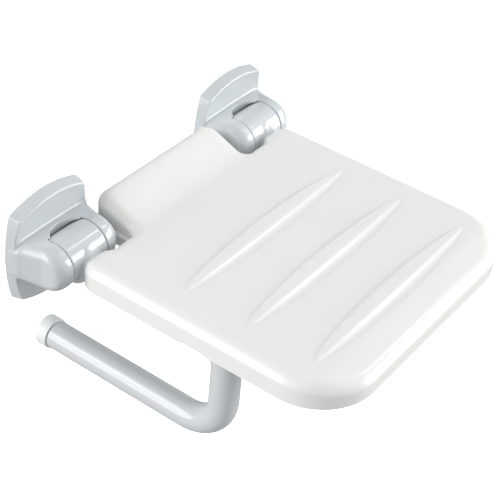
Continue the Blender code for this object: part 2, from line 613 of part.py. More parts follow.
def ridge(y):
    """Long lens-shaped rib that stands on the seat's top face and fades out at both ends."""
    sections = []
    for i in range(17):
        t = -0.985 + 1.97 * i / 16
        fade = 1 - t * t
        half_width = RIDGE_HALF_WIDTH * fade ** 0.75 + 0.4 * MM
        height = RIDGE_HEIGHT * fade ** 0.6
        ring = [(half_width + 1 * MM, -2 * MM)]
        for j in range(7):
            s = 1 - 2 * j / 6
            ring.append((half_width * s, height * (1 - s * s) - 0.2 * MM))
        ring.append((-half_width - 1 * MM, -2 * MM))
        sections.append([(t * RIDGE_HALF_LENGTH, -y + dy, SEAT_TOP + dz) for dy, dz in ring])
    return loft(sections)


def seat_pan(look, frame):
    pan = piece("seat_pan", pan_block(0, SKIRT_FOOT), look, frame)
    cut(pan, "lip", lip_block(0), "UNION")
    for i in range(RIDGE_COUNT):
        cut(pan, f"ridge_{i + 1}", ridge(RIDGE_FIRST + i * RIDGE_PITCH), "UNION")
    cut(pan, "pan_hollow", pan_block(SHELL_WALL, SKIRT_FOOT - 10 * MM))
    cut(pan, "lip_hollow", lip_block(SHELL_WALL))
    tray = box((-TRAY_HALF_WIDTH - COVER_SIDE_GAP, -SEAT_REAR - SHELL_WALL - 1 * MM, SKIRT_FOOT - 5 * MM),
               (TRAY_HALF_WIDTH + COVER_SIDE_GAP, -SEAT_REAR + 5 * MM, LIP_FOOT))
    arches = []
    for side in (-1, 1):
        clear = TUBE_RADIUS + 0.8 * MM
        outline = arc((side * HINGE_X, TUBE_Z), clear, 0, 180, 10)
        outline += [(side * HINGE_X - clear, SKIRT_FOOT - 5 * MM), (side * HINGE_X + clear, SKIRT_FOOT - 5 * MM)]
        arches.append(prism(outline, -SEAT_REAR - TOP_EDGE - 1 * MM, -SEAT_REAR + 2 * MM, "Y"))
    notches = []
    for side in (-1, 1):
        middle = side * SEAT_WIDTH / 2
        notches.append(box((middle - 8 * MM, -CLIP_NOTCH_Y - CLIP_NOTCH_LENGTH / 2, SKIRT_FOOT - 5 * MM),
                           (middle + 8 * MM, -CLIP_NOTCH_Y + CLIP_NOTCH_LENGTH / 2, SKIRT_FOOT + CLIP_NOTCH_DEPTH)))
    cut(pan, "lower_edge_gaps", joined(tray, *arches, *notches))
    rib_foot = SEAT_TOP - SHELL_WALL - RIB_DEPTH
    rib_top = SEAT_TOP - SHELL_WALL + 1 * MM
    half = RIB_THICKNESS / 2
    rib_reach = BOSS_X - BOSS_RADIUS - 2 * MM
    cross = [box((-rib_reach, -y - half, rib_foot), (rib_reach, -y + half, rib_top)) for y in CROSS_RIBS]
    cut(pan, "cross_ribs", joined(*cross), "UNION")
    front, rear = -SEAT_REACH + SHELL_WALL - 1 * MM, -SEAT_REAR - SHELL_WALL - 30 * MM
    long = [box((x - half, front, rib_foot + 1 * MM), (x + half, rear, rib_top))
            for x in (-LONG_RIB_X, LONG_RIB_X)]
    cut(pan, "long_ribs", joined(*long), "UNION")
    boss_top = SEAT_TOP - SHELL_WALL + 1 * MM
    bosses, pilots = [], []
    for side in (-1, 1):
        for y in SADDLE_PLACES:
            foot = SADDLE_FOOT_TOP + GAP
            bosses.append(rod((side * BOSS_X, -y, foot), (0, 0, 1), boss_top - foot, BOSS_RADIUS, SMALL_ROUND))
            pilots.append(rod((side * BOSS_X, -y, foot - 1 * MM), (0, 0, 1), SCREW_LENGTH + 1 * MM,
                              SCREW_RADIUS + GAP, SMALL_ROUND))
        for x, y in COVER_SCREWS:
            foot = COVER_Z + COVER_THICKNESS + GAP
            bosses.append(rod((side * x, -y, foot), (0, 0, 1), boss_top - foot, BOSS_RADIUS, SMALL_ROUND))
            pilots.append(rod((side * x, -y, foot - 1 * MM), (0, 0, 1), SCREW_LENGTH + 1 * MM,
                              SCREW_RADIUS + GAP, SMALL_ROUND))
    cut(pan, "bosses", joined(*bosses), "UNION")
    cut(pan, "pilot_holes", joined(*pilots))


def tray_outline(inset):
    """Plan of the cover's rear tray, from its front right corner round to its front left corner."""
    right = [(TRAY_HALF_WIDTH - inset, -SEAT_REAR - SHELL_WALL - 3 * MM + inset),
             (TRAY_HALF_WIDTH - inset, -TRAY_SHOULDER),
             (TRAY_REAR_HALF_WIDTH - inset, -TRAY_REAR - 5 * MM),
             (TRAY_REAR_HALF_WIDTH - 5 * MM - inset, -TRAY_REAR - inset)]
    return right + [(-x, y) for x, y in reversed(right)]


def base_cover(look, frame):
    front = -SEAT_REACH + SHELL_WALL + COVER_SIDE_GAP + 6 * MM
    rear = -SEAT_REAR - SHELL_WALL - COVER_SIDE_GAP
    plate = box((-COVER_HALF_WIDTH, front, COVER_Z), (COVER_HALF_WIDTH, rear, COVER_Z + COVER_THICKNESS))
    cover = piece("base_cover", plate, look, frame)
    tray = prism(tray_outline(0), COVER_Z + 0.5 * MM, LIP_FOOT - GAP)
    cut(cover, "tray", tray, "UNION")
    rim = TRAY_HALF_WIDTH - LIP_HALF_WIDTH + SHELL_WALL
    hollow = prism(tray_outline(rim), COVER_Z + COVER_THICKNESS, LIP_FOOT + 5 * MM)
    cut(cover, "tray_hollow", hollow)
    holes = [rod((side * x, -y, COVER_Z - 5 * MM), (0, 0, 1), 20 * MM, SCREW_RADIUS + GAP, SMALL_ROUND)
             for side in (-1, 1) for x, y in COVER_SCREWS]
    cut(cover, "cover_holes", joined(*holes))


# ---- the whole seat -----------------------------------------------------------------------------------
def build():
    for obj in list(bpy.data.objects):
        bpy.data.objects.remove(obj, do_unlink=True)
    wall = bpy.data.objects.new("wall_frame", None)
    hinge = bpy.data.objects.new("hinge_axis", None)
    hinge.location = (0, -HINGE_OUT, 0)
    for frame in (wall, hinge):
        bpy.context.collection.objects.link(frame)

    def look(name, color, roughness, metallic=0.0):
        return lambda suffix: material(f"{name}_{suffix}", color, roughness, metallic)

    coated = look("coated_metal", (0.80, 0.83, 0.85), 0.25)
    steel = look("stainless_steel", (0.62, 0.62, 0.60), 0.3, 1.0)
    polymer = look("bearing_polymer", (0.10, 0.10, 0.11), 0.5)
    white = look("white_plastic", (0.90, 0.90, 0.88), 0.25)
    grey = look("grey_plastic", (0.62, 0.65, 0.65), 0.45)

    seat_pan(white("pan"), hinge)
    base_cover(white("cover"), hinge)
    for side, name in ((-1, "left"), (1, "right")):
        wall_bracket(side, name, coated(f"bracket_{name}"), wall)
        wall_plate(side, name, steel(f"plate_{name}"), wall)
        lock_start = (HINGE_X, -PLATE_FOLD / 2 - 0.6 * MM, -PLATE_HALF_HEIGHT - GAP - LOCK_SCREW_LENGTH)
        grub_screw(f"lock_screw_{name}", lock_start, (0, 0, 1), LOCK_SCREW_RADIUS, LOCK_SCREW_LENGTH,
                   steel(f"lock_{name}"), wall, side)
        hinge_pin(side, name, steel(f"pin_{name}"), wall)
        pin_plug(side, name, grey(f"plug_{name}"), wall)
        hinge_arm(side, name, coated(f"arm_{name}"), hinge)
        for end in (-1, 1):
            bush(side, name, end, polymer(f"bush_{name}_{end}"), hinge)
        end_point, inward = friction_screw_line()
        grub_screw(f"friction_screw_{name}", end_point, inward, FRICTION_SCREW_RADIUS, FRICTION_SCREW_LENGTH,
                   steel(f"friction_{name}"), hinge, side)
        support_tube(side, name, coated(f"tube_{name}"), hinge)
        end_cap(side, name, grey(f"cap_{name}"), hinge)
        pan_screw(f"spigot_screw_{name}", TUBE_Z - TUBE_RADIUS, HINGE_X, -TUBE_START - SPIGOT_LENGTH / 2, side,
                  SCREW_LENGTH, steel(f"spigot_{name}"), hinge)
        for index, y in enumerate(SADDLE_PLACES, 1):
            saddle(side, name, index, y, steel(f"saddle_{index}_{name}"), hinge)
            pan_screw(f"saddle_screw_{index}_{name}", SADDLE_FOOT_TOP - SADDLE_THICKNESS, BOSS_X, -y, side,
                      SCREW_LENGTH, steel(f"saddle_screw_{index}_{name}"), hinge)
        for index, (x, y) in enumerate(COVER_SCREWS, 1):
            pan_screw(f"cover_screw_{index}_{name}", COVER_Z, x, -y, side, SCREW_LENGTH,
                      steel(f"cover_screw_{index}_{name}"), hinge)


build()
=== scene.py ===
# %% [markdown]
# # A fold-down shower seat
# The seat is a moulded white pan on two bent tubes. Cast brackets hold it on the wall, and a barrel hinge in
# each bracket lets it fold up. The working model is already built. This script gives it its looks:
# finer shapes, finishes, a floor, light and a camera. Everything is in metres, and the wall is the plane y = 0.

# %% Load the working model
import math

import bmesh
import bpy
from mathutils import Matrix, Vector


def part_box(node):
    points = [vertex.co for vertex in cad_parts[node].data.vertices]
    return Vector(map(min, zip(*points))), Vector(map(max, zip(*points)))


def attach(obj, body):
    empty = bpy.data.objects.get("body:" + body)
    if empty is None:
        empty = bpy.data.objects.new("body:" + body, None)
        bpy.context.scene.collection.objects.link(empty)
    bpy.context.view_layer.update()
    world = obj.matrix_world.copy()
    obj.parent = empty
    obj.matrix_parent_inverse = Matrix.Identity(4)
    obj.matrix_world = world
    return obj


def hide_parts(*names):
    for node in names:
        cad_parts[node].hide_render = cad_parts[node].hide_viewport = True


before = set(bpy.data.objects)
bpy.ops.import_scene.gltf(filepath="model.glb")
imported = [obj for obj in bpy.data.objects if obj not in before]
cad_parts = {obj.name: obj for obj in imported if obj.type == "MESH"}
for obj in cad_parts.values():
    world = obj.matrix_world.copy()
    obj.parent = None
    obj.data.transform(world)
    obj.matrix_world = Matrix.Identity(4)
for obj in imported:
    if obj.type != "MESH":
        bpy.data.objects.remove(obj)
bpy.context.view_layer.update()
MM = 0.001
print("pieces in the working model:", len(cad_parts))

# %% [markdown]
# ## Camera
# The seat is seen from its left, from above, through a long lens, so its edges run almost parallel. A camera is
# placed by three directions: what it looks away from, its right and its up. A small turn about the view line
# and a small sideways shift of the lens put the object where it should be in the picture.

# %% Place the camera
VIEW_AZIMUTH = math.radians(-53.903)
VIEW_ELEVATION = math.radians(38.253)
VIEW_ROLL = math.radians(3.694)
CAMERA_PLACE = Vector((-1.048, -0.8457, 0.9478))

away = Vector((math.sin(VIEW_AZIMUTH) * math.cos(VIEW_ELEVATION),
               -math.cos(VIEW_AZIMUTH) * math.cos(VIEW_ELEVATION), math.sin(VIEW_ELEVATION)))
level_right = Vector((math.cos(VIEW_AZIMUTH), math.sin(VIEW_AZIMUTH), 0))
level_up = away.cross(level_right)
right = level_right * math.cos(VIEW_ROLL) + level_up * math.sin(VIEW_ROLL)
up = away.cross(right)
away = (away - right * 0.121 * 36 / 99).normalized()
right = up.cross(away)
turn = Matrix((right, up, away)).transposed().to_4x4()
lens_data = bpy.data.cameras.new("camera")
lens_data.lens = 99.0
lens_data.sensor_width = 36.0
camera = bpy.data.objects.new("camera", lens_data)
camera.matrix_world = Matrix.Translation(CAMERA_PLACE) @ turn
bpy.context.scene.collection.objects.link(camera)
bpy.context.scene.camera = camera
bpy.context.scene.view_settings.view_transform = "Standard"

# %% [markdown]
# ## Finishes
# Real plastic and paint are never quite even. Each finish is a Principled shader whose colour, roughness and
# fine relief are stirred by noise. The noise reads Object coordinates, which are metres on these pieces, so a
# scale of 900 makes grains of about a millimetre. What is even all over is typed straight into the shader.

# %% A finish maker
def finish(name, color, roughness, metallic=0.0, coat=0.0, tint=0.03, grain=900, relief=0.02, stretch=(1, 1, 1)):
    """A shader with mottled colour, uneven roughness and a fine surface grain."""
    look = bpy.data.materials.new(name)
    look.use_nodes = True
    nodes, links = look.node_tree.nodes, look.node_tree.links
    shader = nodes["Principled BSDF"]
    shader.inputs["Metallic"].default_value = metallic
    shader.inputs["Coat Weight"].default_value = coat
    shader.inputs["Coat Roughness"].default_value = 0.06
    place = nodes.new("ShaderNodeTexCoord")
    squeeze = nodes.new("ShaderNodeMapping")
    squeeze.inputs["Scale"].default_value = stretch
    links.new(place.outputs["Object"], squeeze.inputs["Vector"])
    cloud = nodes.new("ShaderNodeTexNoise")
    cloud.inputs["Scale"].default_value = 14
    cloud.inputs["Detail"].default_value = 3
    links.new(squeeze.outputs["Vector"], cloud.inputs["Vector"])
    shades = nodes.new("ShaderNodeValToRGB")
    shades.color_ramp.elements[0].position = 0.3
    shades.color_ramp.elements[0].color = (*[c * (1 - tint) for c in color], 1)
    shades.color_ramp.elements[1].position = 0.7
    shades.color_ramp.elements[1].color = (*[min(1, c * (1 + tint / 2)) for c in color], 1)
    links.new(cloud.outputs["Fac"], shades.inputs["Fac"])
    links.new(shades.outputs["Color"], shader.inputs["Base Color"])
    grains = nodes.new("ShaderNodeTexNoise")
    grains.inputs["Scale"].default_value = grain
    grains.inputs["Detail"].default_value = 2
    links.new(squeeze.outputs["Vector"], grains.inputs["Vector"])
    spread = nodes.new("ShaderNodeMapRange")
    spread.inputs["To Min"].default_value = roughness * 0.85
    spread.inputs["To Max"].default_value = roughness * 1.2
    links.new(grains.outputs["Fac"], spread.inputs["Value"])
    links.new(spread.outputs["Result"], shader.inputs["Roughness"])
    bump = nodes.new("ShaderNodeBump")
    bump.inputs["Strength"].default_value = relief
    bump.inputs["Distance"].default_value = 0.2 * MM
    links.new(grains.outputs["Fac"], bump.inputs["Height"])
    links.new(bump.outputs["Normal"], shader.inputs["Normal"])
    return look


white_plastic = finish("white_moulded_plastic", (0.84, 0.84, 0.825), 0.24, coat=0.2, tint=0.012, relief=0.02)
cover_plastic = finish("white_cover_plastic", (0.80, 0.80, 0.785), 0.38, tint=0.02, grain=1400, relief=0.08)
coated_casting = finish("grey_coated_casting", (0.60, 0.635, 0.66), 0.18, coat=0.4, tint=0.02, grain=500,
                        relief=0.02)
coated_tube = finish("grey_coated_tube", (0.62, 0.65, 0.665), 0.2, coat=0.35, tint=0.02, grain=500, relief=0.02)
cap_plastic = finish("grey_cap_plastic", (0.84, 0.87, 0.865), 0.38, tint=0.03, grain=1600, relief=0.1)
plug_plastic = finish("light_grey_plug_plastic", (0.60, 0.64, 0.66), 0.4, tint=0.03, grain=1600, relief=0.1)
black_bearing = finish("black_bearing_plastic", (0.012, 0.012, 0.014), 0.5, tint=0.2, grain=1800, relief=0.1)
stainless = finish("brushed_stainless", (0.60, 0.60, 0.585), 0.3, metallic=1.0, tint=0.05, grain=700,
                   relief=0.1, stretch=(0.08, 1, 1))
print("finishes:", len(bpy.data.materials))

# %% [markdown]
# ## Helpers for every piece
# A shape is modelled as a bmesh with Blender's operators and then made an object. The object rides on a body of
# the working model, stands for one or more of its pieces, and carries its finish. The seat is the
# same on both sides, so its left pieces are drawn as mirror images of the right ones. A mirror turns a surface
# inside out, so the faces are turned back.

# %% From a bmesh to a piece of the seat
SIDES = ((-1, "left"), (1, "right"))


def add_piece(name, bm, body, look, nodes, sharp=38):
    mesh = bpy.data.meshes.new(name)
    rims = [edge.is_boundary for edge in bm.edges]
    bm.to_mesh(mesh)
    bm.free()
    mesh.materials.append(look)
    mesh.shade_smooth()
    mesh.set_sharp_from_angle(angle=math.radians(sharp))
    for edge, crisp in zip(mesh.edges, rims):
        edge.use_edge_sharp = edge.use_edge_sharp or crisp
    obj = bpy.data.objects.new(name, mesh)
    bpy.context.scene.collection.objects.link(obj)
    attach(obj, body)
    if nodes:
        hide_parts(*nodes)
    print(f"{name}: {len(mesh.polygons)} faces")
    return obj


def on_side(bm, side):
    """The shape itself on the right, its mirror image on the left."""
    made = bm.copy()
    if side < 0:
        bmesh.ops.scale(made, vec=(-1, 1, 1), verts=made.verts)
        bmesh.ops.reverse_faces(made, faces=made.faces)
    return made


# %% Turned shapes and flat outlines
def turned(profile, start, direction, sides=48):
    """Spins (distance, radius) points about a line; the first and last points are closed to the line."""
    bm = bmesh.new()
    verts = [bm.verts.new((radius, 0, along)) for along, radius in profile]
    verts = [bm.verts.new((0, 0, profile[0][0])), *verts, bm.verts.new((0, 0, profile[-1][0]))]
    edges = [bm.edges.new(pair) for pair in zip(verts, verts[1:])]
    bmesh.ops.spin(bm, geom=[*verts, *edges], cent=(0, 0, 0), axis=(0, 0, 1), angle=math.tau, steps=sides,
                   use_merge=True)
    bmesh.ops.remove_doubles(bm, verts=bm.verts, dist=0.01 * MM)
    turn = Vector(direction).to_track_quat("Z", "Y").to_matrix().to_4x4()
    bmesh.ops.transform(bm, verts=bm.verts, matrix=Matrix.Translation(start) @ turn)
    bmesh.ops.recalc_face_normals(bm, faces=bm.faces)
    return bm


def quarter(center, radius, start, steps=5, sweep=90):
    """Points on a round corner of a profile, angles in degrees."""
    angles = [math.radians(start + sweep * i / steps) for i in range(steps + 1)]
    return [(center[0] + radius * math.cos(a), center[1] + radius * math.sin(a)) for a in angles]


def rounded_face(bm, corners, segments=8):
    """A flat face from corners (x, y, z, radius). A vertex bevel rounds each one."""
    verts = [bm.verts.new(corner[:3]) for corner in corners]
    bm.faces.new(verts)
    for vert, corner in zip(verts, corners):
        if corner[3] > 0:
            bmesh.ops.bevel(bm, geom=[vert], offset=corner[3], offset_type="OFFSET", affect="VERTICES",
                            segments=segments, profile=0.5, material=-1)
    bm.faces.ensure_lookup_table()
    return bm.faces[0]


def push(bm, face, step, scale=None, about=(0, 0, 0)):
    """Extrudes a face by a step and may scale its new end about a point; gives back the new end face."""
    made = bmesh.ops.extrude_face_region(bm, geom=[face])["geom"]
    bmesh.ops.delete(bm, geom=[face], context="FACES_ONLY") if face.is_valid and scale == "open" else None
    verts = [v for v in made if isinstance(v, bmesh.types.BMVert)]
    bmesh.ops.translate(bm, verts=verts, vec=step)
    if scale not in (None, "open"):
        space = Matrix.Translation(-Vector(about))
        bmesh.ops.scale(bm, verts=verts, vec=scale, space=space)
    return next(g for g in made if isinstance(g, bmesh.types.BMFace))


def follow_ring(verts, before, after):
    """Moves each vertex from its point in one ring to the point with the same number in the next."""
    for vert in verts:
        number = min(range(len(before)), key=lambda i: (vert.co - before[i]).length_squared)
        vert.co = after[number]


# %% [markdown]
# ## Joining shapes as a casting or a moulding does
# Where a boss meets a wall, a real casting has a soft inside corner. Booleans alone leave it sharp. Remeshing
# the joined solid into even small cells and then relaxing it a little rounds every edge and corner by about the
# size of a cell, which is just how a coated casting looks.

# %% Join, cut, remesh and relax
def temporary(bm):
    mesh = bpy.data.meshes.new("temporary")
    bm.to_mesh(mesh)
    bm.free()
    obj = bpy.data.objects.new("temporary", mesh)
    bpy.context.scene.collection.objects.link(obj)
    return obj


def fused(base, add=(), remove=(), cell=None, relax=0):
    whole = temporary(base)
    tools = []
    for operation, shapes in (("UNION", add), ("DIFFERENCE", remove)):
        for shape in shapes:
            tool = temporary(shape)
            tools.append(tool)
            step = whole.modifiers.new("step", "BOOLEAN")
            step.operation = operation
            step.solver = "EXACT"
            step.object = tool
    if cell:
        remesh = whole.modifiers.new("remesh", "REMESH")
        remesh.mode = "VOXEL"
        remesh.voxel_size = cell
    graph = bpy.context.evaluated_depsgraph_get()
    result = bmesh.new()
    result.from_mesh(whole.evaluated_get(graph).to_mesh())
    for obj in (whole, *tools):
        mesh = obj.data
        bpy.data.objects.remove(obj)
        bpy.data.meshes.remove(mesh)
    for _ in range(relax):
        bmesh.ops.smooth_vert(result, verts=result.verts, factor=0.5, use_axis_x=True, use_axis_y=True,
                              use_axis_z=True)
    return result


# %% [markdown]
# ## The seat pan
# The pan is one moulding: a flat top with three long lens-shaped ridges, a rolled edge, a skirt, and a tongue at
# the back that rises between the brackets. It could be sculpted, but a moulded part follows rules, so it is
# drawn by rules too. Its plan is a face with rounded corners. Insets roll its edge, planes slice its middle into
# a fine grid, and the grid is then lifted into the tongue's slope and the ridges.

# %% Sizes of the pan
SEAT_HALF_WIDTH = 190 * MM
SEAT_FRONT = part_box("seat_pan")[0].y
SEAT_REAR = -80 * MM
HOOD_REACH, HOOD_START, HOOD_FULL, HOOD_FADE = 7.5 * MM, 141 * MM, 154 * MM, 28 * MM
SEAT_TOP = 16 * MM
SKIRT_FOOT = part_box("seat_pan")[0].z
EDGE_ROUND = 16 * MM
WALL = 4 * MM
SKIRT_RINGS = (6 * MM, 0)
CLIP_Y, CLIP_HALF_WIDTH, CLIP_HEIGHT = -229 * MM, 13 * MM, 1.8 * MM
TONGUE_HALF_WIDTH = 104 * MM
TONGUE_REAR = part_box("seat_pan")[1].y
TONGUE_RISE = 18 * MM
TONGUE_FOOT = 1 * MM
SLOPE_START, SLOPE_END = -24 * MM, -90 * MM
FRONT_DROP, FRONT_DROP_START, FRONT_DROP_RUN = 4 * MM, -370 * MM, 30 * MM
RIDGES = tuple(-(190 + 83 * i) * MM for i in range(3))
RIDGE_HALF_LENGTH, RIDGE_REACH, RIDGE_BLEND, RIDGE_HEIGHT = 150 * MM, 17 * MM, 22 * MM, 3.2 * MM
RIDGE_REAR_CREST, RIDGE_REAR_RISE = 12.5 * MM, 3.5 * MM
RIDGE_FRONT_CREST, RIDGE_FRONT_FALL = 1 * MM, 8 * MM
HOLLOW_START, HOLLOW_RUN, HOLLOW_SHARE = 7.5 * MM, 9.5 * MM, 0.2
RIDGE_ROWS = (-22, -19.5, -17, -15.5, -14, -12.5, -11, -9.5, -8, -6.5, -5, -3.5, -2, 1, 4, 7, 10, 11.2, 12, 12.8,
              13.6, 14.4, 15.2, 16, 17, 19.5, 22)
print("pan reaches from y", round(SEAT_FRONT / MM), "to", round(TONGUE_REAR / MM), "mm")


# %% Plan of the pan, with its rolled edge
def pan_plan(bm):
    half, tongue = SEAT_HALF_WIDTH, TONGUE_HALF_WIDTH
    height = SEAT_TOP - EDGE_ROUND
    side = [(half, SEAT_FRONT, height, 72 * MM), (half, SEAT_REAR, height, 18 * MM),
            (tongue, SEAT_REAR, height, 9 * MM), (tongue, TONGUE_REAR, height, 19 * MM)]
    corners = side + [(-x, y, z, radius) for x, y, z, radius in reversed(side)]
    face = rounded_face(bm, corners, segments=14)
    for edge in list(face.edges):
        cuts = round(edge.calc_length() / (4 * MM)) - 1
        if cuts > 0:
            bmesh.ops.subdivide_edges(bm, edges=[edge], cuts=cuts)
    return bm.faces[0]


def roll_edge(bm, face, radius, steps=9):
    """Insets a face again and again, each time a little higher, so that its rim becomes a quarter round."""
    done_in, done_up = 0.0, 0.0
    for i in range(1, steps + 1):
        angle = math.radians(90 * i / steps)
        inward, upward = radius * (1 - math.cos(angle)), radius * math.sin(angle)
        bmesh.ops.inset_region(bm, faces=[face], thickness=inward - done_in, use_even_offset=True,
                               use_boundary=True)
        bmesh.ops.translate(bm, verts=face.verts, vec=(0, 0, upward - done_up))
        done_in, done_up = inward, upward
    return face


# %% Slicing the top into a grid that follows the ridges
def slice_top(bm, height):
    """Cuts only the faces that lie at the given height."""
    rows = [SEAT_FRONT + EDGE_ROUND + 5 * MM * i for i in range(70)]
    rows = [y for y in rows if y < SEAT_REAR and all(abs(y - ridge) > RIDGE_BLEND for ridge in RIDGES)]
    rows += [SEAT_REAR + 3 * MM * i - 9 * MM for i in range(24)]
    rows += [ridge + row * MM for ridge in RIDGES for row in RIDGE_ROWS]
    columns = [5 * MM * i for i in range(-37, 38)]
    planes = [((0, y, 0), (0, 1, 0)) for y in rows] + [((x, 0, 0), (1, 0, 0)) for x in columns]
    for place, normal in planes:
        faces = [f for f in bm.faces if all(abs(v.co.z - height) < 1e-6 for v in f.verts)]
        edges = {e for f in faces for e in f.edges}
        verts = {v for f in faces for v in f.verts}
        bmesh.ops.bisect_plane(bm, geom=[*verts, *edges, *faces], dist=1e-6, plane_co=place, plane_no=normal)


def ease(t):
    t = min(1.0, max(0.0, t))
    return t * t * (3 - 2 * t)


def ridge_narrowing(x):
    """How wide a ridge is at a distance x from its middle, as a share of its full width."""
    along = abs(x) / RIDGE_HALF_LENGTH
    if along < 1:
        return 0.1 + 0.9 * (1 - along * along) ** 0.65
    return 0.1 + 0.9 * ease((abs(x) - RIDGE_HALF_LENGTH) / (22 * MM))


def follow_ridge(co):
    """Squeezes the grid's rows together so that they run along a ridge's pointed outline."""
    for ridge in RIDGES:
        off = co.y - ridge
        if abs(off) < RIDGE_BLEND and abs(co.x) < SEAT_HALF_WIDTH - EDGE_ROUND - MM:
            near = min(abs(off), RIDGE_REACH) * ridge_narrowing(co.x)
            left_over = (RIDGE_BLEND - RIDGE_REACH * ridge_narrowing(co.x)) / (RIDGE_BLEND - RIDGE_REACH)
            beyond = max(0.0, abs(off) - RIDGE_REACH) * left_over
            co.y = ridge + math.copysign(near + beyond, off)


def ridge_profile(off):
    """Height of a ridge across its middle: a quick rise at the back, a flat crown, a fall and a slight hollow."""
    if off >= 0:
        return 1 - ease((off - RIDGE_REAR_CREST) / RIDGE_REAR_RISE)
    hollow = min(1.0, max(0.0, (-off - HOLLOW_START) / HOLLOW_RUN))
    fall = ease((-off - RIDGE_FRONT_CREST) / RIDGE_FRONT_FALL)
    return 1 - fall - HOLLOW_SHARE * math.sin(math.pi * hollow) ** 2


def top_lift(x, y):
    """Height of the tongue's slope, of the ridges and of the falling front above the flat top."""
    lift = TONGUE_RISE * (1 - ease((SLOPE_START - y) / (SLOPE_START - SLOPE_END)))
    lift -= FRONT_DROP * ease((FRONT_DROP_START - y) / FRONT_DROP_RUN)
    for ridge in RIDGES:
        along = abs(x) / RIDGE_HALF_LENGTH
        if along < 1:
            off = (y - ridge) / ridge_narrowing(x)
            lift += RIDGE_HEIGHT * (1 - along * along) ** 0.5 * ridge_profile(off)
    return lift


def hood(x, y):
    """How far the rear edge reaches back over the hinge's neck, on the outer part of the pan."""
    across = ease((abs(x) - HOOD_START) / (HOOD_FULL - HOOD_START))
    return HOOD_REACH * across * (1 - ease((SEAT_REAR - y) / HOOD_FADE))


# %% Making the pan
def seat_pan():
    bm = bmesh.new()
    plan = pan_plan(bm)
    rim = list(plan.edges)
    roll_edge(bm, plan, EDGE_ROUND)
    slice_top(bm, SEAT_TOP)
    for vert in bm.verts:
        if abs(vert.co.z - SEAT_TOP) < 1e-6:
            follow_ridge(vert.co)
    for vert in bm.verts:
        vert.co.z += top_lift(vert.co.x, vert.co.y)
    for above_foot in SKIRT_RINGS:
        made = bmesh.ops.extrude_edge_only(bm, edges=rim)["geom"]
        rim = [g for g in made if isinstance(g, bmesh.types.BMEdge) and g.is_boundary]
        for vert in (g for g in made if isinstance(g, bmesh.types.BMVert)):
            foot = TONGUE_FOOT if vert.co.y > SEAT_REAR + 9 * MM else SKIRT_FOOT
            clip = abs(vert.co.x) > SEAT_HALF_WIDTH - MM and abs(vert.co.y - CLIP_Y) < CLIP_HALF_WIDTH
            vert.co.z = foot + above_foot + (CLIP_HEIGHT if clip and above_foot < CLIP_HEIGHT else 0)
    for vert in bm.verts:
        vert.co.y += hood(vert.co.x, vert.co.y)
    bmesh.ops.recalc_face_normals(bm, faces=bm.faces)
    highest = max(bm.faces, key=lambda f: f.calc_area())
    if highest.normal.z < 0:
        bmesh.ops.reverse_faces(bm, faces=bm.faces)
    return bm


pan = add_piece("moulded_seat_pan", seat_pan(), "seat", white_plastic, ["seat_pan"], sharp=50)
wall_step = pan.modifiers.new("wall", "SOLIDIFY")
wall_step.thickness = WALL
wall_step.offset = -1
wall_step.use_quality_normals = True

# %% [markdown]
# ## Wall brackets
# Each bracket is one casting: a bowed shield against the wall, dished above and below, and a thick body that
# ends in two cheeks round the hinge barrel. The shield's front is sliced into a grid and pressed in to make the
# dishes. The body is a rounded face pushed forward step by step, and narrowed to a round nose. Turned cutters
# then make the space for the barrel, the pin hole and the scoop that the arm swings up into.

# %% Sizes of the hinge and the bracket
HINGE_X = 165 * MM
HINGE_Y = -44 * MM
FLANGE_DEPTH, FLANGE_DRAFT = 16 * MM, 2.5 * MM
FLANGE_X, FLANGE_Z = 53 * MM, 56 * MM
BOW_X, BOW_Z = 8 * MM, 11 * MM
BODY_ROOT_Z, BODY_ROUND = 25 * MM, 13 * MM
NOSE_RADIUS = 28 * MM
CHEEK_INNER = 28 * MM
SCOOP_RADIUS = 25 * MM
BARREL_RADIUS = 27.6 * MM
PIN_HOLE = 6.3 * MM
DISH_DEPTH, DISH_RIM, DISH_CORNER = 5.5 * MM, 3 * MM, 4.5 * MM


# %% The dished shield
def shield_edge(inset):
    """Points round the bowed outline, about the bracket's middle."""
    x, z, steps = FLANGE_X - inset, FLANGE_Z - inset, 20
    bow = BOW_X
    side = [(x + bow * (1 - t * t), z * t) for t in (-1 + 2 * i / steps for i in range(steps))]
    top = [(-x * t, z + BOW_Z * (1 - t * t)) for t in (-1 + 2 * i / steps for i in range(steps))]
    half = side + top
    return half + [(-px, -pz) for px, pz in half]


def dish(x, z):
    """How far the front slopes back at a point: from a crease under the top rim down to the body's root."""
    t = x / (FLANGE_X - FLANGE_DRAFT)
    crease = FLANGE_Z - FLANGE_DRAFT + BOW_Z * (1 - t * t) - DISH_RIM
    down = min(1.0, max(0.0, (crease - abs(z)) / (crease - BODY_ROOT_Z)))
    corner = min(1.0, max(0.0, 1 - (abs(z) - BODY_ROOT_Z) / DISH_CORNER))
    return DISH_DEPTH * down ** 0.7 * (1 - 0.25 * (x / FLANGE_X) ** 2) * (1 - 0.25 * corner ** 2)


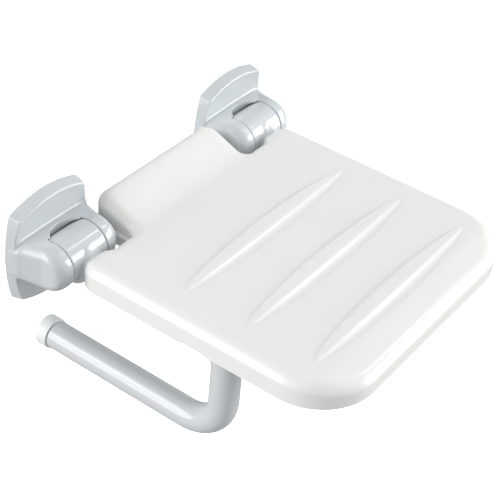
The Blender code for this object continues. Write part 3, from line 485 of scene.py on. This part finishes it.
def shield():
    bm = bmesh.new()
    back = bm.faces.new([bm.verts.new((x, 0, z)) for x, z in shield_edge(0)])
    front = push(bm, back, (0, -FLANGE_DEPTH, 0))
    for vert, (x, z) in zip(sorted(front.verts, key=lambda v: math.atan2(v.co.z, v.co.x)),
                            sorted(shield_edge(FLANGE_DRAFT), key=lambda p: math.atan2(p[1], p[0]))):
        vert.co.x, vert.co.z = x, z
    bmesh.ops.inset_region(bm, faces=[front], thickness=2 * MM, use_even_offset=True)
    spread = [2 * MM * i for i in range(-34, 35)]
    for place, normal in [((v, 0, 0), (1, 0, 0)) for v in spread] + [((0, 0, v), (0, 0, 1)) for v in spread]:
        faces = [f for f in bm.faces if all(v.co.y < 1e-6 - FLANGE_DEPTH for v in f.verts)]
        geom = {v for f in faces for v in f.verts} | {e for f in faces for e in f.edges} | set(faces)
        bmesh.ops.bisect_plane(bm, geom=list(geom), dist=1e-6, plane_co=place, plane_no=normal)
    for vert in bm.verts:
        if vert.co.y < 1e-6 - FLANGE_DEPTH:
            vert.co.y += dish(vert.co.x, vert.co.z)
    bmesh.ops.recalc_face_normals(bm, faces=bm.faces)
    bmesh.ops.translate(bm, verts=bm.verts, vec=(HINGE_X, 0, 0))
    return bm


# %% The body, pushed forward from the shield
def body_sections():
    """(y, half width, half height) from inside the shield to the tip of the nose."""
    sections = []
    for y in (-6, -10, -13, -16, -20, -25, -30, -35, -40, -44):
        t = max(0.0, (-y * MM - FLANGE_DEPTH) / (-HINGE_Y - FLANGE_DEPTH))
        width = 61.2 + 0.17 * max(y, -16) - 8.5 * t ** 0.85
        sections.append((y * MM, width * MM, BODY_ROOT_Z + (NOSE_RADIUS - BODY_ROOT_Z) * t))
    for degrees in (8, 16, 24, 32, 40, 48, 55, 62, 68, 74, 79, 83, 87):
        angle = math.radians(degrees)
        forward = NOSE_RADIUS * math.sin(angle)
        past = max(0.0, forward - (NOSE_RADIUS - BODY_ROUND))
        shoulder = BODY_ROUND - math.sqrt(BODY_ROUND ** 2 - past ** 2)
        half_width = 50 * MM - 2 * MM * forward / NOSE_RADIUS - shoulder
        sections.append((HINGE_Y - forward, half_width, NOSE_RADIUS * math.cos(angle)))
    return sections


def section_ring(y, half_width, half_height):
    radius = min(BODY_ROUND, 0.98 * half_height)
    ring = []
    for cx, cz, start in ((1, -1, -90), (1, 1, 0), (-1, 1, 90), (-1, -1, 180)):
        ring += quarter((cx * (half_width - radius), cz * (half_height - radius)), radius, start, steps=8)
    return [Vector((HINGE_X + x, y, z)) for x, z in ring]


def bracket_body():
    bm = bmesh.new()
    sections = body_sections()
    before = section_ring(*sections[0])
    face = bm.faces.new([bm.verts.new(point) for point in before])
    for section in sections[1:]:
        face = push(bm, face, (0, 0, 0))
        after = section_ring(*section)
        follow_ring(face.verts, before, after)
        before = after
    bmesh.ops.recalc_face_normals(bm, faces=bm.faces)
    return bm


# %% Cutters, and the finished casting
def hinge_space():
    blind, inner = 13.3 * MM, 17.5 * MM
    slot_end = blind + 2 * CHEEK_INNER
    wide = BARREL_RADIUS + 1 * MM
    profile = [(0, PIN_HOLE), (blind, PIN_HOLE), (blind, wide), (slot_end, wide), (slot_end, PIN_HOLE),
               (slot_end + inner, PIN_HOLE), (slot_end + inner, 7.8 * MM), (slot_end + 42 * MM, 7.8 * MM)]
    return turned(profile, (HINGE_X + CHEEK_INNER + blind, HINGE_Y, 0), (-1, 0, 0), 96)


def block(low, high):
    bm = bmesh.new()
    bmesh.ops.create_cube(bm, size=1.0)
    low, high = Vector(low), Vector(high)
    fit = Matrix.Translation((low + high) / 2) @ Matrix.Diagonal((*(high - low), 1))
    bmesh.ops.transform(bm, verts=bm.verts, matrix=fit)
    return bm


plate_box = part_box("wall_plate_right")
pocket = block(plate_box[0] - Vector((MM, 0.9 * MM, MM)), plate_box[1] + Vector((MM, 10 * MM, MM)))
lock_hole = turned([(0, 2.8 * MM), (40 * MM, 2.8 * MM)], (HINGE_X, -3.3 * MM, -42 * MM), (0, 0, -1))
scoop = turned([(0, SCOOP_RADIUS), (60 * MM, SCOOP_RADIUS)], (HINGE_X, HINGE_Y, 0), (0, 0, 1), 96)
casting = fused(shield(), add=[bracket_body()], remove=[pocket, lock_hole, hinge_space(), scoop],
                cell=0.9 * MM, relax=2)
for side, name in SIDES:
    add_piece(f"cast_bracket_{name}", on_side(casting, side), "wall_side", coated_casting,
              [f"wall_bracket_{name}"], sharp=80)

# %% [markdown]
# ## Hinge arms
# The arm is a barrel with a round neck that flares smoothly out of it and plugs into the tube. Both are turned
# shapes. Joined and remeshed, they meet in a soft corner like the casting.

# %% The arm
barrel_half = 27.4 * MM
barrel = turned([(0, BARREL_RADIUS - 0.6 * MM), (0.6 * MM, BARREL_RADIUS), (2 * barrel_half - 0.6 * MM, BARREL_RADIUS),
                 (2 * barrel_half, BARREL_RADIUS - 0.6 * MM)], (HINGE_X - barrel_half, HINGE_Y, 0), (1, 0, 0), 96)
TUBE_RADIUS, TUBE_WALL = 17 * MM, 2 * MM
TUBE_Z = -5.3 * MM
TUBE_START = -86 * MM
FLARE_START, FLARE_RUN, FLARE_RISE = 17 * MM, 12.5 * MM, 9 * MM
flare = [(FLARE_START + FLARE_RUN * i / 12, TUBE_RADIUS + FLARE_RISE * (1 + math.cos(math.pi * i / 12)) / 2)
         for i in range(13)]
shoulder = HINGE_Y - TUBE_START - 0.3 * MM
spigot = TUBE_RADIUS - TUBE_WALL - 0.3 * MM
neck_profile = [(10 * MM, 25 * MM), *flare, (shoulder, TUBE_RADIUS), (shoulder, spigot),
                (shoulder + 32 * MM, spigot), (shoulder + 34 * MM, spigot - 2 * MM)]
neck = turned(neck_profile, (HINGE_X, HINGE_Y, TUBE_Z), (0, -1, 0), 96)
bore = turned([(-1 * MM, 12.3 * MM), (1 * MM, 12.3 * MM), (1 * MM, 8.6 * MM), (2 * barrel_half - MM, 8.6 * MM),
               (2 * barrel_half - MM, 12.3 * MM), (2 * barrel_half + MM, 12.3 * MM)],
              (HINGE_X - barrel_half, HINGE_Y, 0), (1, 0, 0))
FRICTION_TILT = math.radians(30)
screw_out = Vector((0, -math.cos(FRICTION_TILT), -math.sin(FRICTION_TILT)))
screw_end = Vector((HINGE_X + 20 * MM, HINGE_Y, 0)) + screw_out * (BARREL_RADIUS - 1.2 * MM)
screw_hole = turned([(0, 3.5 * MM), (20 * MM, 3.5 * MM)], screw_end + screw_out * 10 * MM, -screw_out)
arm = fused(barrel, add=[neck], remove=[bore, screw_hole], cell=0.9 * MM, relax=2)
for side, name in SIDES:
    add_piece(f"cast_hinge_arm_{name}", on_side(arm, side), "seat", coated_casting,
              [f"hinge_arm_{name}"], sharp=80)

# %% [markdown]
# ## Support tubes
# Each tube runs forward under the pan, bends down, and bends back to the wall. A ring is extruded from station
# to station along that line, and turned to face the way the line goes. Solidify gives it its wall.

# %% Sweep the tube
LEG_OUT, LEG_DROP = -260 * MM, -137 * MM
UPPER_BEND, LOWER_BEND = 35 * MM, 48 * MM
TUBE_END = -18.2 * MM


def tube_line(steps=16):
    """(y, z, angle) stations: 0 degrees runs away from the wall, 90 down and 180 back."""
    stations = [(TUBE_START, TUBE_Z, 0.0)]
    for y, z, radius, start in ((LEG_OUT + UPPER_BEND, TUBE_Z - UPPER_BEND, UPPER_BEND, 0),
                                (LEG_OUT + LOWER_BEND, LEG_DROP + LOWER_BEND, LOWER_BEND, 90)):
        for i in range(steps + 1):
            turn = math.radians(start + 90 * i / steps)
            stations.append((y - radius * math.sin(turn), z + radius * math.cos(turn), math.degrees(turn)))
    return [*stations, (TUBE_END, LEG_DROP, 180.0)]


def station_matrix(y, z, angle):
    turn = math.radians(angle)
    across = Vector((0, -math.sin(turn), math.cos(turn)))
    ahead = Vector((0, -math.cos(turn), -math.sin(turn)))
    return Matrix.Translation((HINGE_X, y, z)) @ Matrix((Vector((1, 0, 0)), across, ahead)).transposed().to_4x4()


def swept_tube(sides=48):
    bm = bmesh.new()
    line = [station_matrix(*station) for station in tube_line()]
    ring = bmesh.ops.create_circle(bm, segments=sides, radius=TUBE_RADIUS)["verts"]
    bmesh.ops.transform(bm, verts=ring, matrix=line[0])
    edges = list(bm.edges)
    for before, after in zip(line, line[1:]):
        made = bmesh.ops.extrude_edge_only(bm, edges=edges)["geom"]
        ring = [g for g in made if isinstance(g, bmesh.types.BMVert)]
        edges = [g for g in made if isinstance(g, bmesh.types.BMEdge) and g.is_boundary]
        bmesh.ops.transform(bm, verts=ring, matrix=after @ before.inverted())
    ends = bmesh.ops.holes_fill(bm, edges=[e for e in bm.edges if e.is_boundary], sides=0)["faces"]
    bmesh.ops.recalc_face_normals(bm, faces=bm.faces)
    bmesh.ops.delete(bm, geom=ends, context="FACES_ONLY")
    return bm


tube = swept_tube()
for side, name in SIDES:
    piece = add_piece(f"bent_support_tube_{name}", on_side(tube, side), "seat", coated_tube,
                      [f"support_tube_{name}"], sharp=60)
    tube_wall = piece.modifiers.new("wall", "SOLIDIFY")
    tube_wall.thickness = TUBE_WALL
    tube_wall.offset = -1

# %% [markdown]
# ## End caps
# A moulded cap closes each tube and bears on the wall. It is a little wider than the tube, with a rounded rim,
# a shallow dimple in its wall face, and a dark groove where it meets the tube.

# %% Turn the caps
cap_length = 17 * MM
cap_profile = [(0.8 * MM, 6 * MM), (0, 9 * MM), (0, 15.5 * MM), *quarter((3 * MM, 15.8 * MM), 3 * MM, 180, 6, -90),
               *quarter((cap_length - MM, 17.8 * MM), MM, 90, 4, -90), (cap_length, 16 * MM),
               (cap_length - 1.2 * MM, spigot), (cap_length + 22 * MM, spigot)]
cap = turned(cap_profile, (HINGE_X, 0, LEG_DROP), (0, -1, 0), 72)
for side, name in SIDES:
    add_piece(f"moulded_end_cap_{name}", on_side(cap, side), "seat", cap_plastic,
              [f"tube_end_cap_{name}"], sharp=40)

# %% [markdown]
# ## Ribs and bosses under the pan
# A thin moulded top needs ribs to be stiff, and round bosses for its screws to bite in. They are plain walls that
# the mould leaves, so they are blocks and rods joined into one piece. The screws' places come from the working model.

# %% Ribs and bosses
RIB_WALL, RIB_DEPTH = 3 * MM, 9 * MM
RIB_TOP = SEAT_TOP - WALL + 1 * MM
CROSS_RIBS, LONG_RIB_X = (-150 * MM, -235 * MM, -320 * MM), 62 * MM
RIB_REACH, LONG_RIB_ENDS = 122 * MM, (-380 * MM, -100 * MM)


def rod(x, y, low, high, radius, sides=40):
    return turned([(0, radius), (high - low, radius)], (x, y, low), (0, 0, 1), sides)


def middle(node):
    low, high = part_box(node)
    return (low + high) / 2


ribs = [block((-RIB_REACH, y - RIB_WALL / 2, RIB_TOP - RIB_DEPTH), (RIB_REACH, y + RIB_WALL / 2, RIB_TOP))
        for y in CROSS_RIBS]
ribs += [block((side * LONG_RIB_X - RIB_WALL / 2, LONG_RIB_ENDS[0], RIB_TOP - RIB_DEPTH),
               (side * LONG_RIB_X + RIB_WALL / 2, LONG_RIB_ENDS[1], RIB_TOP)) for side, _ in SIDES]
cover_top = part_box("cover_screw_1_right")[0].z + 6.5 * MM
saddle_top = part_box("tube_saddle_1_right")[1].z
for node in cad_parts:
    if node.startswith(("saddle_screw", "cover_screw")):
        spot = middle(node)
        foot = cover_top if node.startswith("cover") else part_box(node)[0].z + 6.2 * MM
        ribs.append(rod(spot.x, spot.y, foot, RIB_TOP, 6.5 * MM))
rib_set = fused(ribs[0], add=ribs[1:])
rib_object = add_piece("pan_ribs_and_bosses", rib_set, "seat", white_plastic, [], sharp=40)

# %% [markdown]
# ## Cover, saddles and wall plates
# These sheet and moulded pieces have the right shape in the working model but hard edges. A merged copy, remeshed
# into small cells and relaxed, keeps the shape and gets the small edge radius that pressed and moulded pieces have.

# %% Soften copies of the working model's pieces
def softened(node, cell):
    copy = bmesh.new()
    copy.from_mesh(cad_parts[node].data)
    bmesh.ops.remove_doubles(copy, verts=copy.verts, dist=0.001 * MM)
    return fused(copy, cell=cell, relax=2)


add_piece("moulded_base_cover", softened("base_cover", 1.3 * MM), "seat", cover_plastic,
          ["base_cover"], sharp=80)
for node in list(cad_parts):
    if node.startswith("tube_saddle"):
        add_piece(f"pressed_{node}", softened(node, 0.6 * MM), "seat", stainless, [node], sharp=80)
    if node.startswith("wall_plate"):
        add_piece(f"pressed_{node}", softened(node, 0.8 * MM), "wall_side", stainless, [node],
                  sharp=80)

# %% [markdown]
# ## Screws and plugs
# A screw is a turned body with a hexagon socket cut into its outer end. The pan's screws have a pan head; the
# set screws have none. Each one's place and size is read from the working model.

# %% Turn the screws and plugs
SCREW_SHANK = 2.2 * MM


def socket_screw(node, body, profile, start, direction, socket):
    """Turns the profile, cuts the socket in its outer end, and adds it in place of the node."""
    direction = Vector(direction).normalized()
    start = Vector(start)
    hexagon = turned([(0, socket), (3 * socket, socket)], start - direction * socket, direction, 6)
    cone = turned([(0, 1.35 * socket), (0.5 * socket, 0.85 * socket)], start - direction * 0.1 * MM, direction, 40)
    made = fused(turned(profile, start, direction, 40), remove=[hexagon, cone])
    add_piece(f"socket_{node}", made, body, stainless, [node], sharp=35)


for node in list(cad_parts):
    low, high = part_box(node)
    spot, wide, tall = (low + high) / 2, (high.x - low.x) / 2, high.z - low.z
    if node.startswith(("saddle_screw", "cover_screw")):
        head = 2.8 * MM
        dome = [(head * (1 - math.cos(a)), wide * (0.62 + 0.38 * math.sin(a)))
                for a in (math.radians(15 * i) for i in range(7))]
        threads = []
        for i in range(int((tall - head - 2 * MM) / (1.2 * MM))):
            at = head + 0.8 * MM + 1.2 * MM * i
            threads += [(at, SCREW_SHANK - 0.5 * MM), (at + 0.6 * MM, SCREW_SHANK)]
        profile = [*dome, (head, SCREW_SHANK), *threads, (tall, 0.4 * SCREW_SHANK)]
        socket_screw(node, "seat", profile, (spot.x, spot.y, low.z), (0, 0, 1), 1.4 * MM)
    elif node.startswith("lock_screw"):
        profile = [(0, wide - 0.5 * MM), (0.5 * MM, wide), (tall - 1.2 * MM, wide), (tall, 0.5 * wide)]
        socket_screw(node, "wall_side", profile, (spot.x, spot.y, low.z), (0, 0, 1), 0.5 * wide)
for side, name in SIDES:
    flip = Vector((side, 1, 1))
    profile = [(0, 2.5 * MM), (0.5 * MM, 3 * MM), (8 * MM, 3 * MM), (9 * MM, 1.8 * MM)]
    socket_screw(f"friction_screw_{name}", "seat", profile, screw_end * flip, -(screw_out * flip), 1.5 * MM)
    plug_low, plug_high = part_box("pin_plug_right")
    length, radius = plug_high.x - plug_low.x, (plug_high.z - plug_low.z) / 2
    domed = [(0, radius), *quarter((length - MM, radius - MM), MM, 90, 4, -90), (length, 0.4 * radius),
             (length - 0.4 * MM, 0.3 * radius)]
    plug = turned(domed, (plug_high.x, HINGE_Y, 0), (-1, 0, 0), 64)
    add_piece(f"moulded_pin_plug_{name}", on_side(plug, side), "wall_side", plug_plastic,
              [f"pin_plug_{name}"], sharp=40)
    plug.free()

# %% [markdown]
# ## Pieces that keep the working model's shape
# The pins, bushes and spigot screws lie inside the hinges and are already right, so they only get a finish.

# %% Finishes for the pieces that stay
kept = {"hinge_pin": stainless, "hinge_bush": black_bearing, "spigot_screw": stainless}
for name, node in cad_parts.items():
    look = next((kept[start] for start in kept if name.startswith(start)), None)
    if look:
        node.data.materials.clear()
        node.data.materials.append(look)

# %% [markdown]
# ## Floor and light
# A pale floor lies well below the seat, so only a faint shade falls on it. A white sky lights everything evenly,
# and two large soft lamps give the gloss something to mirror.

# %% Floor, sky and lamps
floor_bm = bmesh.new()
bmesh.ops.create_grid(floor_bm, x_segments=1, y_segments=1, size=30)
bmesh.ops.translate(floor_bm, verts=floor_bm.verts, vec=(0, 0, -0.6))
floor_mesh = bpy.data.meshes.new("floor")
floor_bm.to_mesh(floor_mesh)
floor_bm.free()
floor = bpy.data.objects.new("floor", floor_mesh)
bpy.context.scene.collection.objects.link(floor)
floor_look = bpy.data.materials.new("pale_floor")
floor_look.use_nodes = True
floor_shader = floor_look.node_tree.nodes["Principled BSDF"]
floor_shader.inputs["Base Color"].default_value = (0.9, 0.9, 0.9, 1)
floor_shader.inputs["Roughness"].default_value = 0.9
floor_shader.inputs["Emission Color"].default_value = (1, 1, 1, 1)
floor_shader.inputs["Emission Strength"].default_value = 0.7
floor_mesh.materials.append(floor_look)
floor.visible_diffuse = False
floor.visible_glossy = False

world = bpy.data.worlds.new("studio_sky")
bpy.context.scene.world = world
world.use_nodes = True
sky_nodes, sky_links = world.node_tree.nodes, world.node_tree.links
direction = sky_nodes.new("ShaderNodeTexCoord")
split = sky_nodes.new("ShaderNodeSeparateXYZ")
sky_links.new(direction.outputs["Generated"], split.inputs["Vector"])
sky_shades = sky_nodes.new("ShaderNodeMapRange")
sky_shades.inputs["From Min"].default_value = -0.4
sky_shades.inputs["From Max"].default_value = 0.9
sky_shades.inputs["To Min"].default_value = 0.42
sky_shades.inputs["To Max"].default_value = 0.67
sky_links.new(split.outputs["Z"], sky_shades.inputs["Value"])
sky_links.new(sky_shades.outputs["Result"], sky_nodes["Background"].inputs["Strength"])
sky_nodes["Background"].inputs["Color"].default_value = (1, 1, 1, 1)


def soft_lamp(name, toward, size, glow, distance=5.0):
    """A soft box in one direction from the seat; glow is how bright its face is."""
    data = bpy.data.lights.new(name, "AREA")
    data.shape = "RECTANGLE"
    data.size, data.size_y = size
    data.energy = glow * math.pi * size[0] * size[1]
    lamp = bpy.data.objects.new(name, data)
    middle = Vector((0, -0.2, 0))
    lamp.location = middle + Vector(toward).normalized() * distance
    lamp.rotation_euler = (middle - lamp.location).to_track_quat("-Z", "Y").to_euler()
    bpy.context.scene.collection.objects.link(lamp)


soft_lamp("back_lamp", (-0.68, 0.463, 0.57), (1.0, 1.6), 4.5)
soft_lamp("right_lamp", (0.634, -0.305, 0.711), (0.4, 1.2), 9.0)
soft_lamp("left_fill", (-0.85, 0.5, 0.2), (3.5, 3.5), 4.2)
soft_lamp("front_fill", (0.7, -0.7, 0.15), (3.5, 3.5), 7.0)
